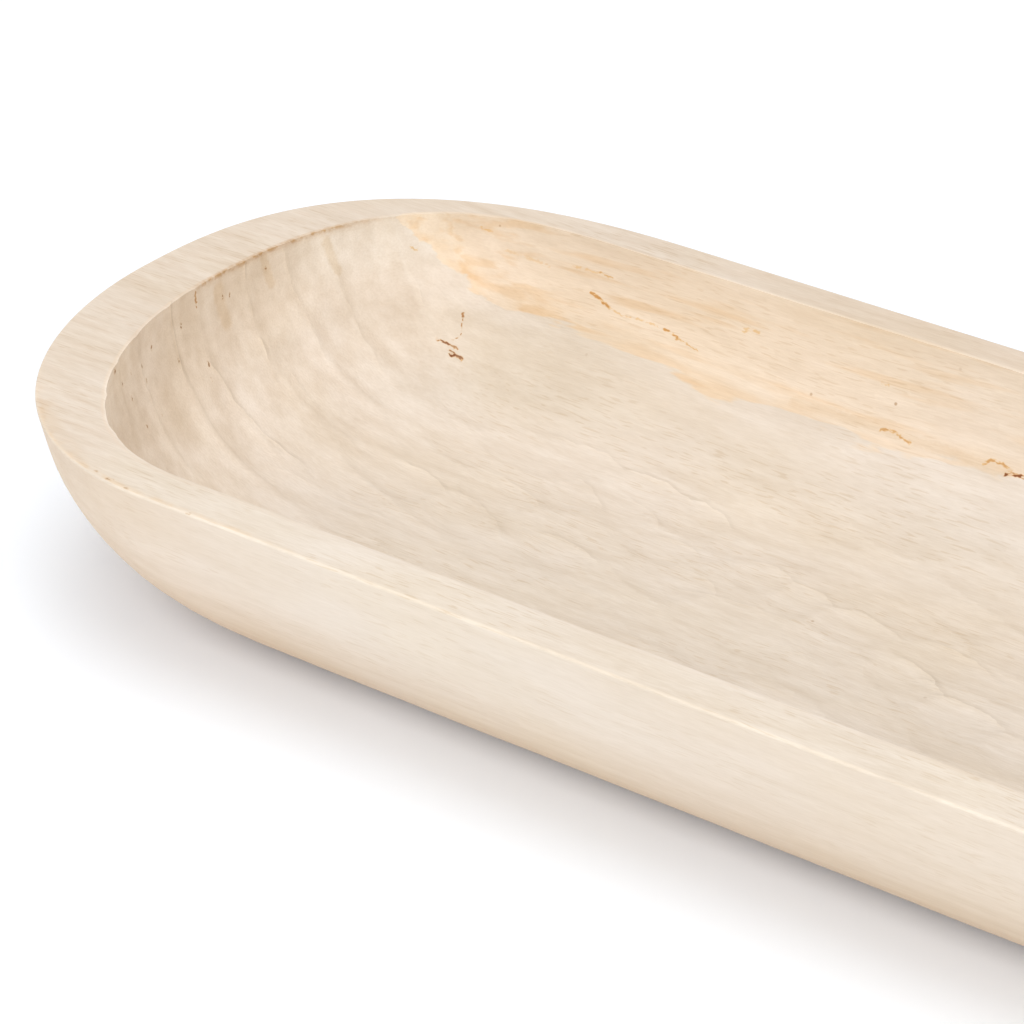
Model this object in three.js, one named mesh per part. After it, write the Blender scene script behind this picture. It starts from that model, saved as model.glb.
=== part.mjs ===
import * as THREE from 'three';

// Carved wooden platter: one block of pale wood, hollowed from the top and rounded underneath.
// X runs along the grain, Y across it and Z up from the table. All sizes are in millimetres.
// The near side is -Y and the far side is +Y. The hand-cut ends curve more slowly on the far side.

// The block
const length = 620;
const width = 250;
const height = 76;

// The flat rim round the basin
const nearRimWidth = 17;
const farRimWidth = 14.5;
const endRimWidth = 26.5;
const rimChamfer = 0.9;

// The basin, measured down from the rim, and the flat of its floor
const basinDepth = 60;
const floorLength = 407;
const floorWidth = 88;

// The flat foot that the platter stands on
const footLength = 462;
const footWidth = 120;

// How far each outline curves in from the straight side to the tip of the end
const rimNearEndRun = 109;
const rimFarEndRun = 151;
const basinNearEndRun = 83;
const basinFarEndRun = 98;
const floorNearEndRun = 40;
const floorFarEndRun = 48;
const footNearEndRun = 70;
const footFarEndRun = 112;

// Lean of each wall from upright where it leaves the rim, in degrees
const hullSideLean = 12;
const hullEndLean = 0.5;
const basinSideLean = 6;
const basinEndLean = 2;

// Fullness of each curve: 2 is an ellipse and a larger number is squarer
const rimNearFullness = { along: 2.24, across: 1.93 };
const rimFarFullness = { along: 2.51, across: 2.58 };
const basinNearFullness = { along: 2.26, across: 1.72 };
const basinFarFullness = { along: 2.72, across: 2.74 };
const hullFullness = 2.2;
const basinFullness = 2.4;

// Steps along one quarter of an outline, and down one wall
const endSteps = 16;
const sideSteps = 5;
const hullSteps = 12;
const basinSteps = 12;

const woodColour = 0xe6d6c1;

// One side of an outline: half its width, the length of its end curve and that curve's fullness.
function outlineSide(halfWidth, endRun, fullness) {
  return { halfWidth, endRun, along: fullness.along, across: fullness.across };
}

const rimOuter = {
  halfLength: length / 2,
  near: outlineSide(width / 2, rimNearEndRun, rimNearFullness),
  far: outlineSide(width / 2, rimFarEndRun, rimFarFullness),
};
const rimInner = {
  halfLength: length / 2 - endRimWidth,
  near: outlineSide(width / 2 - nearRimWidth, basinNearEndRun, basinNearFullness),
  far: outlineSide(width / 2 - farRimWidth, basinFarEndRun, basinFarFullness),
};
const basinFloor = {
  halfLength: floorLength / 2,
  near: outlineSide(floorWidth / 2, floorNearEndRun, basinNearFullness),
  far: outlineSide(floorWidth / 2, floorFarEndRun, basinFarFullness),
};
const foot = {
  halfLength: footLength / 2,
  near: outlineSide(footWidth / 2, footNearEndRun, rimNearFullness),
  far: outlineSide(footWidth / 2, footFarEndRun, rimFarFullness),
};

function mix(from, to, share) {
  return from + (to - from) * share;
}

// The side of an outline part of the way from one outline to the next.
function mixSide(from, to, sideShare, endShare) {
  return {
    halfWidth: mix(from.halfWidth, to.halfWidth, sideShare),
    endRun: mix(from.endRun, to.endRun, endShare),
    along: mix(from.along, to.along, endShare),
    across: mix(from.across, to.across, endShare),
  };
}

function mixOutline(from, to, sideShare, endShare) {
  return {
    halfLength: mix(from.halfLength, to.halfLength, endShare),
    near: mixSide(from.near, to.near, sideShare, endShare),
    far: mixSide(from.far, to.far, sideShare, endShare),
  };
}

// A quarter of an outline, from the tip of the +X end to the middle of one side.
function quarterPoints(halfLength, side) {
  const points = [];
  for (let step = 0; step <= endSteps; step += 1) {
    const turn = (step / endSteps) * (Math.PI / 2);
    const inward = 1 - Math.max(Math.cos(turn), 0) ** (2 / side.along);
    const across = side.halfWidth * Math.sin(turn) ** (2 / side.across);
    points.push([halfLength - side.endRun * inward, across]);
  }
  const straightLength = halfLength - side.endRun;
  for (let step = 1; step <= sideSteps; step += 1) {
    points.push([straightLength * (1 - step / sideSteps), side.halfWidth]);
  }
  return points;
}

// A closed ring of points at one height, counterclockwise seen from above.
function ringPoints(outline, z) {
  const far = quarterPoints(outline.halfLength, outline.far);
  const near = quarterPoints(outline.halfLength, outline.near);
  const farRight = far.map(([x, y]) => [x, y]);
  const farLeft = far.map(([x, y]) => [-x, y]).reverse().slice(1);
  const nearLeft = near.map(([x, y]) => [-x, -y]).slice(1);
  const nearRight = near.map(([x, y]) => [x, -y]).reverse().slice(1, -1);
  return [...farRight, ...farLeft, ...nearLeft, ...nearRight].map(([x, y]) => [x, y, z]);
}

// How far in and how far down a wall has gone at one step, as shares of its whole run and drop.
// The curve leaves the rim at the wall's lean and meets the flat below it smoothly.
function wallShare(turn, run, drop, leanDegrees, fullness) {
  const leanShare = (drop * Math.tan(THREE.MathUtils.degToRad(leanDegrees))) / run;
  const down = Math.sin(turn) ** (2 / fullness);
  const inward = 1 - Math.max(Math.cos(turn), 0) ** (2 / fullness);
  return { down, inward: leanShare * down + (1 - leanShare) * inward };
}

// The rings of one wall, from the rim's outline at topZ to the flat outline at bottomZ.
function wallRings(rim, flat, topZ, bottomZ, sideLean, endLean, fullness, steps) {
  const drop = topZ - bottomZ;
  const sideRun = rim.near.halfWidth - flat.near.halfWidth;
  const endRun = rim.halfLength - flat.halfLength;
  const rings = [];
  for (let step = 0; step <= steps; step += 1) {
    const turn = (step / steps) * (Math.PI / 2);
    const side = wallShare(turn, sideRun, drop, sideLean, fullness);
    const end = wallShare(turn, endRun, drop, endLean, fullness);
    const outline = mixOutline(rim, flat, side.inward, end.inward);
    rings.push(ringPoints(outline, topZ - drop * side.down));
  }
  return rings;
}

// The outline drawn in all round by one distance.
function insetOutline(outline, distance) {
  return {
    halfLength: outline.halfLength - distance,
    near: { ...outline.near, halfWidth: outline.near.halfWidth - distance },
    far: { ...outline.far, halfWidth: outline.far.halfWidth - distance },
  };
}

// A closed skin through rings that run from the middle of the top to the middle of the bottom.
function closedSkin(rings) {
  const first = rings[0];
  const last = rings[rings.length - 1];
  const count = first.length;
  const positions = rings.flat(2);
  const topCentre = rings.length * count;
  const bottomCentre = topCentre + 1;
  positions.push(0, 0, first[0][2]);
  positions.push(0, 0, last[0][2]);
  const triangles = [];
  for (let i = 0; i < count; i += 1) {
    const next = (i + 1) % count;
    triangles.push(topCentre, i, next);
    for (let ring = 0; ring < rings.length - 1; ring += 1) {
      const inner = ring * count;
      const outer = inner + count;
      triangles.push(inner + i, outer + i, inner + next);
      triangles.push(inner + next, outer + i, outer + next);
    }
    const base = (rings.length - 1) * count;
    triangles.push(bottomCentre, base + next, base + i);
  }
  const geometry = new THREE.BufferGeometry();
  geometry.setAttribute('position', new THREE.Float32BufferAttribute(positions, 3));
  geometry.setIndex(triangles);
  geometry.computeVertexNormals();
  return geometry;
}

function platterGeometry() {
  const floorZ = height - basinDepth;
  const chamferZ = height - rimChamfer;
  const basinWall = wallRings(
    rimInner, basinFloor, height, floorZ, basinSideLean, basinEndLean, basinFullness, basinSteps,
  );
  const hullWall = wallRings(
    rimOuter, foot, chamferZ, 0, hullSideLean, hullEndLean, hullFullness, hullSteps,
  );
  const rimEdge = ringPoints(insetOutline(rimOuter, rimChamfer), height);
  return closedSkin([...basinWall.reverse(), rimEdge, ...hullWall]);
}

const bleachedWood = new THREE.MeshStandardMaterial({
  color: woodColour,
  roughness: 0.72,
  metalness: 0,
});

const carvedPlatter = new THREE.Mesh(platterGeometry(), bleachedWood);
carvedPlatter.name = 'carved_platter';

const platter = new THREE.Group();
platter.add(carvedPlatter);

export default platter;
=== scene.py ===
import math
import random

import bpy
import numpy as np
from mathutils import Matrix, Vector
from mathutils.bvhtree import BVHTree


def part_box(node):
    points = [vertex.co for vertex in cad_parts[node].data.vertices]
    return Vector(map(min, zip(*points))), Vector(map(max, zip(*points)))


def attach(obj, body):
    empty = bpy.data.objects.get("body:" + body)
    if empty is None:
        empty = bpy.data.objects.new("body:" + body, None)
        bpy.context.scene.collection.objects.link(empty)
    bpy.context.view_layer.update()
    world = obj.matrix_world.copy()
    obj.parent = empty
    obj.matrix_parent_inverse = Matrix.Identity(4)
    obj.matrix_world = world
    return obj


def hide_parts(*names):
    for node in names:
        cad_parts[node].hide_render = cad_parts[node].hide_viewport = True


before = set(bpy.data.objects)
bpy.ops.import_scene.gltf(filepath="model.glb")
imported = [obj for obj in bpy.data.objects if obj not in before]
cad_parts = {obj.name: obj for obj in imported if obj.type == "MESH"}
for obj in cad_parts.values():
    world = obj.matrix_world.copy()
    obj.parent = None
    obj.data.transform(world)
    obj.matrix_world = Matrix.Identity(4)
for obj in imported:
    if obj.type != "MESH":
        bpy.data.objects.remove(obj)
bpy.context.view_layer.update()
print("frame loaded")

scene = bpy.context.scene
mm = 0.001
blockLow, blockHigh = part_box("carved_platter")
blockLength = blockHigh.x - blockLow.x
blockWidth = blockHigh.y - blockLow.y
blockHeight = blockHigh.z


# camera: the corner of a long platter, seen over its near left end

camera = {
    "place": (0.5573, -0.9655, 0.7071),
    "lookAt": (-0.1033, -0.0643, 0.0760),
    "lens": 145.0,
    "sensor": 36.0,
    "clip": (0.05, 50),
    "photoWidth": 1024,  # in pixels
}


def cameraTurn():
    aim = Vector(camera["lookAt"]) - Vector(camera["place"])
    return aim.to_track_quat("-Z", "Y")


def makeCamera():
    data = bpy.data.cameras.new("camera")
    data.lens = camera["lens"]
    data.sensor_width = camera["sensor"]
    data.clip_start, data.clip_end = camera["clip"]
    holder = bpy.data.objects.new("camera", data)
    scene.collection.objects.link(holder)
    holder.location = camera["place"]
    holder.rotation_euler = cameraTurn().to_euler()
    scene.camera = holder


makeCamera()
print("camera placed")


# node helpers


def addNode(tree, kind, **settings):
    node = tree.nodes.new(kind)
    for name, value in settings.items():
        setattr(node, name, value)
    return node


def feed(tree, socket, value):
    if isinstance(value, bpy.types.NodeSocket):
        tree.links.new(value, socket)
    elif value is not None:
        socket.default_value = value


def wireNode(tree, kind, inputs, **settings):
    node = addNode(tree, kind, **settings)
    for name, value in inputs.items():
        feed(tree, node.inputs[name], value)
    return node.outputs


def mathNode(tree, operation, *values, clamp=False):
    inputs = dict(enumerate(values))
    return wireNode(tree, "ShaderNodeMath", inputs, operation=operation, use_clamp=clamp)[0]


def minus(tree, value, less):
    return mathNode(tree, "SUBTRACT", value, less)


def multiply(tree, first, *others):
    for other in others:
        first = mathNode(tree, "MULTIPLY", first, other)
    return first


def vectorNode(tree, operation, *values, out=0):
    inputs = dict(enumerate(values))
    return wireNode(tree, "ShaderNodeVectorMath", inputs, operation=operation)[out]


def scaled(tree, vector, factor):
    inputs = {0: vector, "Scale": factor}
    return wireNode(tree, "ShaderNodeVectorMath", inputs, operation="SCALE")[0]


def splitVector(tree, vector):
    return wireNode(tree, "ShaderNodeSeparateXYZ", {0: vector})


def rangeNode(tree, value, low, high, toLow=0.0, toHigh=1.0, smooth=True):
    ends = {"From Min": low, "From Max": high, "To Min": toLow, "To Max": toHigh}
    return wireNode(
        tree, "ShaderNodeMapRange", {"Value": value, **ends},
        interpolation_type="SMOOTHSTEP" if smooth else "LINEAR",
        clamp=not smooth,  # the smooth kind stays in range by itself
    )["Result"]


# platter skin: rings from the floor's middle, up the wall, over the rim and down to the foot

platterShape = {
    "nearRimWidth": 0.017,
    "farRimWidth": 0.0145,
    "endRimWidth": 0.0265,
    "arrisRound": 0.0006,
    "basinDepth": 0.060,
    "floorLength": 0.407,
    "floorWidth": 0.088,
    "footLength": 0.462,
    "footWidth": 0.120,
    "rimNearRun": 0.109,
    "rimFarRun": 0.151,
    "basinNearRun": 0.083,
    "basinFarRun": 0.098,
    "floorNearRun": 0.040,
    "floorFarRun": 0.048,
    "footNearRun": 0.070,
    "footFarRun": 0.112,
    "rimNearFullness": (2.24, 1.93),
    "rimFarFullness": (2.51, 2.58),
    "basinNearFullness": (2.26, 1.72),
    "basinFarFullness": (2.72, 2.74),
    "hullSideLean": 12.0,
    "hullEndLean": 0.5,
    "basinSideLean": 6.0,
    "basinEndLean": 2.0,
    "hullFullness": 2.2,
    "basinFullness": 2.4,
    "spineShare": 0.85,
}
skinEdges = {
    "calmDepth": (-0.001, 0.012),  # the cuts are shallower above this
    "sideArris": 0.22,
    "endArris": 0.50,
    "sideWall": 0.55,
    "wallFoot": (0.030, 0.058),
    "turnToEnd": (0.25, 0.65),
    "hullFoot": (0.0, 0.012),
    "hullTop": (0.0005, 0.008),
    "tornRise": (-0.006, 0.006),
    "tornFall": (0.058, 0.092),
    "tornEnd": -0.2,
    "tornDepth": 0.0024,
}
skinSteps = {
    "leftEnd": 116,  # the end that the camera sees
    "leftSide": 143,
    "rightEnd": 48,
    "rightSide": 74,
    "rightFine": 52,  # so many of those steps lie in the near part of that side
    "finePart": 0.44,
    "floorRings": 29,
    "basinRings": 68,
    "rimRings": 3,
    "hullRings": 21,
    "footRings": 2,
    "closeBy": 0.0008,  # extra rings this far from the outer arris
    "closeRings": (0.5, 1.1),
    "innerClose": 0.0026,
    "turnTable": 2001,
    "wallTable": 4001,
}


def makeOutline(halfLength, halfWidths, runName, curveName):
    def nearAndFar(name, what):
        return np.array([platterShape[name + side + what] for side in ("Near", "Far")])

    return {
        "halfLength": halfLength,
        "halfWidths": np.array(halfWidths),
        "runs": nearAndFar(runName, "Run"),
        "fullness": nearAndFar(curveName, "Fullness"),
    }


def mixOutline(first, second, sideShare, endShare):
    def mix(name):
        share = sideShare if name == "halfWidths" else endShare
        return first[name] + (second[name] - first[name]) * share

    return {name: mix(name) for name in first}


def quarterOutline(outline, side, turns, straights):
    along, across = outline["fullness"][side]
    run = outline["runs"][side]
    halfWidth = outline["halfWidths"][side]
    straight = outline["halfLength"] - run
    curveX = straight + run * np.cos(turns).clip(0) ** (2 / along)
    curveY = halfWidth * np.sin(turns).clip(0) ** (2 / across)
    sideX = straight * (1 - straights)
    return np.r_[np.c_[curveX, curveY], np.c_[sideX, np.full(len(sideX), halfWidth)]]


def evenTurns(outline, side, steps):
    fine = np.linspace(0, math.pi / 2, skinSteps["turnTable"])
    points = quarterOutline(outline, side, fine, np.array([]))
    walked = np.r_[0, np.cumsum(np.hypot(*np.diff(points, axis=0).T))]
    return np.interp(np.linspace(0, walked[-1], steps + 1), walked, fine)


def ringPlan(outline):
    plan = {}
    for end in ("left", "right"):
        steps = skinSteps[end + "Side"]
        straights = np.arange(1, steps + 1) / steps
        if end == "right":
            coarse = 1 - skinSteps["rightFine"] / steps
            straights = np.interp(straights, (0, coarse, 1), (0, 1 - skinSteps["finePart"], 1))
        plan[end] = {
            "turns": [evenTurns(outline, side, skinSteps[end + "End"]) for side in (0, 1)],
            "straights": straights,
        }
    return plan


def outlineRing(outline, plan):
    def quarter(side, end):
        return quarterOutline(outline, side, plan[end]["turns"][side], plan[end]["straights"])

    farRight = quarter(1, "right")
    farLeft = (quarter(1, "left") * (-1, 1))[::-1][1:]
    nearLeft = (quarter(0, "left") * (-1, -1))[1:]
    nearRight = (quarter(0, "right") * (1, -1))[::-1][1:-1]
    return np.r_[farRight, farLeft, nearLeft, nearRight]


def wallShares(turn, run, drop, lean, fullness):
    leanShare = drop * math.tan(math.radians(lean)) / run
    down = np.sin(turn).clip(0) ** (2 / fullness)
    inward = 1 - np.cos(turn).clip(0) ** (2 / fullness)
    return down, leanShare * down + (1 - leanShare) * inward


def evenWallTurns(run, drop, lean, fullness, rings):
    fine = np.linspace(0, math.pi / 2, skinSteps["wallTable"])
    down, inward = wallShares(fine, run, drop, lean, fullness)
    walked = np.r_[0, np.cumsum(np.hypot(np.diff(down) * drop, np.diff(inward) * run))]
    steps = np.linspace(0, walked[-1], rings + 1)
    extra = np.array(skinSteps["closeRings"]) * skinSteps["closeBy"]
    return np.interp(np.r_[0, extra, steps[1:]], walked, fine)


# the rim's outer and inner outline, the floor's and the foot's
def makeOutlines():
    shape = platterShape
    halfLength, halfWidth = blockLength / 2, blockWidth / 2
    innerWidths = (halfWidth - shape["nearRimWidth"], halfWidth - shape["farRimWidth"])
    return (
        makeOutline(halfLength, (halfWidth, halfWidth), "rim", "rim"),
        makeOutline(halfLength - shape["endRimWidth"], innerWidths, "basin", "basin"),
        makeOutline(shape["floorLength"] / 2, (shape["floorWidth"] / 2,) * 2, "floor", "basin"),
        makeOutline(shape["footLength"] / 2, (shape["footWidth"] / 2,) * 2, "foot", "rim"),
    )


def unitRows(vectors):
    return vectors / np.linalg.norm(vectors, axis=1)[:, None].clip(1e-12)


def ringNormals(ring):
    step = np.roll(ring, -1, axis=0) - np.roll(ring, 1, axis=0)
    return unitRows(np.c_[step[:, 1], -step[:, 0]])


def smoothStep(value, low, high):
    share = ((value - low) / (high - low)).clip(0, 1)
    return share * share * (3 - 2 * share)


skinShares = ("basin", "hull", "torn", "worn", "inside", "rubbed")


def emptySkin():
    return {name: [] for name in ("points", "along", "across", *skinShares)}


def addRing(skin, ring, z, along=None, across=None, **shares):
    skin["points"].append(np.c_[ring, np.full(len(ring), z)])
    skin["along"].append(ring[:, 0] if along is None else along)
    skin["across"].append(ring[:, 1] if across is None else across)
    for name in skinShares:
        skin[name].append(np.broadcast_to(shares.get(name, 0.0), len(ring)).astype(float))


def wallRows(rim, flat, plan, drop, leans, fullness, rings):
    sideRun = rim["halfWidths"][0] - flat["halfWidths"][0]
    endRun = rim["halfLength"] - flat["halfLength"]
    turns = evenWallTurns(endRun, drop, leans[1], fullness, rings)
    rows = []
    sideWalked = endWalked = 0.0
    lastSide = lastEnd = None
    for turn in turns[::-1]:
        down, side = wallShares(turn, sideRun, drop, leans[0], fullness)
        _, end = wallShares(turn, endRun, drop, leans[1], fullness)
        sidePoint = np.array([side * sideRun, down * drop])
        endPoint = np.array([end * endRun, down * drop])
        if lastSide is not None:
            sideWalked += np.linalg.norm(sidePoint - lastSide)
            endWalked += np.linalg.norm(endPoint - lastEnd)
        lastSide, lastEnd = sidePoint, endPoint
        spareSide = sideWalked - (1 - side) * sideRun  # what the wall is longer than its plan
        spareEnd = endWalked - (1 - end) * endRun
        ring = outlineRing(mixOutline(rim, flat, side, end), plan)
        normals = ringNormals(ring)
        endness = smoothStep(np.abs(normals[:, 0]), *skinEdges["turnToEnd"])
        rows.append({
            "ring": ring,
            "down": down * drop,
            "along": ring[:, 0] + np.sign(normals[:, 0]) * spareEnd * endness,
            "across": ring[:, 1] + np.sign(normals[:, 1]) * spareSide * (1 - endness),
            "endness": endness,
        })
    return rows


def makeSkin():
    rimOuter, rimInner, floor, foot = makeOutlines()
    plan = ringPlan(rimInner)
    shape, steps, edges = platterShape, skinSteps, skinEdges
    floorZ = blockHeight - shape["basinDepth"]
    skin = emptySkin()
    floorRing = outlineRing(floor, plan)
    half = steps["rightEnd"] + steps["rightSide"] + steps["leftEnd"] + steps["leftSide"]
    mirror = (-np.arange(len(floorRing))) % len(floorRing)
    spine = (floorRing + floorRing[mirror]) / 2 * (shape["spineShare"], 0)
    for step in range(1, steps["floorRings"]):
        share = step / steps["floorRings"]
        addRing(skin, spine + (floorRing - spine) * share, floorZ, basin=1.0, inside=1.0)

    leans = (shape["basinSideLean"], shape["basinEndLean"])
    fullness = shape["basinFullness"]
    for row in wallRows(
        rimInner, floor, plan, shape["basinDepth"], leans, fullness, steps["basinRings"]
    ):
        calm = smoothStep(row["down"], *edges["calmDepth"])
        arrisShare = edges["sideArris"] + (edges["endArris"] - edges["sideArris"]) * row["endness"]
        deep = edges["sideWall"] + (1 - edges["sideWall"]) * np.maximum(
            row["endness"], smoothStep(row["down"], *edges["wallFoot"])
        )
        basinShare = np.minimum(arrisShare + (1 - arrisShare) * calm, deep)
        tornShare = tornAlong(row["ring"]) * (1 - smoothStep(row["down"], 0.0, edges["tornDepth"]))
        addRing(
            skin, row["ring"], blockHeight - row["down"], row["along"], row["across"],
            basin=basinShare, torn=tornShare, inside=1.0,
        )
    skin["arrisRing"] = len(skin["points"]) - 1

    innerRing = outlineRing(rimInner, plan)
    outerRing = outlineRing(rimOuter, plan)
    outward = ringNormals(outerRing)
    rimEdge = outerRing - outward * shape["arrisRound"]
    rimWidth = np.linalg.norm(rimEdge - innerRing, axis=1)[:, None]
    start, stop = steps["innerClose"] / rimWidth, 1 - steps["closeBy"] / rimWidth
    for share in np.linspace(0, 1, steps["rimRings"] + 1):
        ring = innerRing + (rimEdge - innerRing) * (start + (stop - start) * share)
        addRing(skin, ring, blockHeight, rubbed=float(share == 1))
    # the outer arris rings carry the worn line, which is also a painted highlight
    addRing(skin, rimEdge, blockHeight, worn=1.0, rubbed=1.0)
    halfTurn = math.sqrt(0.5)
    cornerRing = outerRing - outward * shape["arrisRound"] * (1 - halfTurn)
    addRing(skin, cornerRing, blockHeight - shape["arrisRound"] * (1 - halfTurn), worn=1.0)

    leans = (shape["hullSideLean"], shape["hullEndLean"])
    hullDrop = blockHeight - shape["arrisRound"]
    hullWall = wallRows(
        rimOuter, foot, plan, hullDrop, leans, shape["hullFullness"], steps["hullRings"]
    )
    for number, row in enumerate(hullWall[::-1]):
        z = hullDrop - row["down"]
        hullShare = smoothStep(z, *edges["hullFoot"]) * smoothStep(row["down"], *edges["hullTop"])
        addRing(
            skin, row["ring"], z, row["along"], row["across"], hull=hullShare,
            worn=1.0 if number == 0 else 0.0,
        )
    footRing = outlineRing(foot, plan)
    footSpine = (footRing + footRing[mirror]) / 2 * (shape["spineShare"], 0)
    for step in range(1, steps["footRings"]):
        addRing(skin, footRing + (footSpine - footRing) * step / steps["footRings"], 0.0)

    count = len(floorRing)
    rings = len(skin["points"])
    topSpine = np.c_[spine[: half + 1], np.full(half + 1, floorZ)]
    lowSpine = np.c_[footSpine[: half + 1], np.zeros(half + 1)]
    spines = np.r_[topSpine, lowSpine]
    values = {name: np.concatenate(skin[name]) for name in skin if name != "arrisRing"}
    values["points"] = np.r_[values["points"], spines]
    values["along"] = np.r_[values["along"], spines[:, 0]]
    values["across"] = np.r_[values["across"], spines[:, 1]]
    onTop = np.r_[np.ones(half + 1), np.zeros(half + 1)]
    for name in skinShares:
        values[name] = np.r_[values[name], onTop * (name in ("basin", "inside"))]
    values["faces"] = skinFaces(rings, count, half)
    values["arris"] = slice(skin["arrisRing"] * count, (skin["arrisRing"] + 1) * count)
    return values


def tornAlong(ring):
    rise = smoothStep(ring[:, 1], *skinEdges["tornRise"])
    fall = 1 - smoothStep(ring[:, 1], *skinEdges["tornFall"])
    return rise * fall * (ring[:, 0] < skinEdges["tornEnd"])


def skinFaces(rings, count, half):
    here = np.arange(count)
    after = (here + 1) % count
    faces = []
    for ring in range(rings - 1):
        inner, outer = ring * count, (ring + 1) * count
        faces.append(np.c_[inner + here, outer + here, outer + after, inner + after])
    foldHere = np.where(here <= half, here, count - here)
    foldAfter = np.where(after <= half, after, count - after)
    topStart = rings * count
    lowStart = topStart + half + 1
    last = (rings - 1) * count
    faces.append(np.c_[topStart + foldHere, here, after, topStart + foldAfter])
    faces.append(np.c_[last + here, lowStart + foldHere, lowStart + foldAfter, last + after])
    return np.concatenate(faces)


def storeFloats(mesh, name, values):
    attribute = mesh.attributes.new(name, "FLOAT", "POINT")
    attribute.data.foreach_set("value", np.asarray(values, np.float32))


def storeVectors(mesh, name, values):
    attribute = mesh.attributes.new(name, "FLOAT_VECTOR", "POINT")
    attribute.data.foreach_set("vector", np.asarray(values, np.float32).ravel())


def makeSkinObject():
    values = makeSkin()
    points, faces = values["points"], values["faces"]
    mesh = bpy.data.meshes.new("platter")
    mesh.vertices.add(len(points))
    mesh.vertices.foreach_set("co", points.astype(np.float32).ravel())
    mesh.loops.add(faces.size)
    mesh.loops.foreach_set("vertex_index", faces.ravel().astype(np.int32))
    mesh.polygons.add(len(faces))
    mesh.polygons.foreach_set("loop_start", np.arange(0, faces.size, 4, dtype=np.int32))
    mesh.update(calc_edges=True)
    mesh.validate()
    normals = np.zeros(len(points) * 3, np.float32)
    mesh.vertices.foreach_get("normal", normals)
    carveWay = -normals.reshape(-1, 3).astype(float)
    outward = ringNormals(points[values["arris"], :2])
    carveWay[values["arris"]] = np.c_[outward, np.zeros(len(outward))]  # stays within the rim
    storeFloats(mesh, "cutAlong", values["along"])
    storeFloats(mesh, "cutAcross", values["across"])
    for name in skinShares:
        storeFloats(mesh, name, values[name])
    storeVectors(mesh, "carveWay", carveWay)
    ends = np.zeros(len(mesh.edges) * 2, np.int32)
    mesh.edges.foreach_get("vertices", ends)
    ends = ends.reshape(-1, 2)
    onArris = (ends >= values["arris"].start) & (ends < values["arris"].stop)
    sharp = mesh.attributes.new("sharp_edge", "BOOLEAN", "EDGE")
    sharp.data.foreach_set("value", onArris.all(axis=1))
    mesh.polygons.foreach_set("use_smooth", np.ones(len(mesh.polygons), bool))
    body = bpy.data.objects.new("platter", mesh)
    scene.collection.objects.link(body)
    return body


platter = makeSkinObject()
print("skin made,", len(platter.data.polygons), "faces")


# gouge cuts: each is a long shallow scoop, and the surface is what all of them leave

floorScoops = {
    "rowPitch": 0.0175,
    "rowSlope": -18.5,
    "rowPlace": 0.016,  # where a row crosses the middle of the platter
    "pitch": 0.036,
    "halfLength": 0.029,
    "nearWidth": 0.0135,
    "farWidth": 0.0100,
    "depth": 0.00120,
    "turn": -13.0,
    "rows": 16,  # on each side of the middle
    "inRow": 9,
    "offPlace": (0.007, 0.0025),
    "sizes": (0.8, 1.2),
    "depths": (0.65, 1.25),
    "turnSpread": 6,
    "wallFrom": 0.055,  # longer and straighter up the side walls
    "wallRun": 0.03,
    "wallLonger": 0.5,
    "wallStraighter": 0.7,
    "reachAlong": 0.268,
    "reachAcross": 0.165,
    "seed": 11,
    "boldWidth": 0.0095,
    "boldNearShare": 1.35,
    "boldBack": (0.0008, 0.80),  # how far its middle lies behind its edge
    "boldLengthShare": 0.70,
    # the boldest ones, in mm and degrees: middle of the far edge, length, turn and depth
    "bold": [
        (-167, 71, 34, -7, 1.7), (-136, 67.5, 33, -6, 1.9), (-110, 62.5, 25, -18, 1.9),
        (-73, 44, 24, -10, 1.8), (-54, 39.5, 21, -14, 1.9), (-31, 34.5, 30, -8, 2.0),
        (-1, 18.5, 22, -20, 2.2), (8, 12.5, 15, -25, 1.6), (25, 7.5, 30, -10, 2.1),
        (52, -1, 29, -16, 1.9), (80, -9, 30, -14, 1.9), (-153, 51, 25, -33, 1.6),
        (-131, 52, 27, -28, 1.6), (-108, 39.5, 22, -10, 1.5), (-86, 23.5, 18, -28, 1.5),
        (-175, 38.5, 32, -18, 1.7), (-136, 16.5, 30, -12, 1.6), (-72, 18, 42, 4, 1.5),
        (-175, 18.5, 32, -27, 1.5), (5, 33, 32, -12, 1.6), (-207, 27, 28, -14, 1.7),
    ],
}
endFlutes = {
    "edges": (-0.098, -0.080, -0.060, -0.040, -0.018, -0.001, 0.024, 0.0455, 0.061, 0.083,
              0.101, 0.120),
    "places": (0.306, 0.264),
    "offPlace": 0.006,
    "rightShift": 0.007,
    "halfLength": 0.040,
    "lengths": (0.85, 1.15),
    "nearShares": (1.0, 1.2),
    "depth": 0.0019,
    "depths": (0.8, 1.15),
    "turnReach": 5,
    "overlap": 1.12,
    "seed": 5,
}
hullFacets = {
    "rowPitch": 0.017,
    "pitch": 0.062,
    "rows": 12,
    "inRow": 7,
    "offPlace": 0.003,
    "halfLength": 0.055,
    "lengths": (0.8, 1.2),
    "halfWidth": 0.0135,
    "widths": (0.8, 1.3),
    "depth": 0.00035,
    "depths": (0.6, 1.3),
    "turnSpread": 2.5,
    "seed": 23,
}


def makeCut(place, halfLength, nearWidth, farWidth, depth, turn):
    return {
        "place": (place[0], place[1], 0.0),
        "size": (halfLength, nearWidth, farWidth),
        "lie": (math.cos(turn), math.sin(turn), depth),
    }


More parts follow.
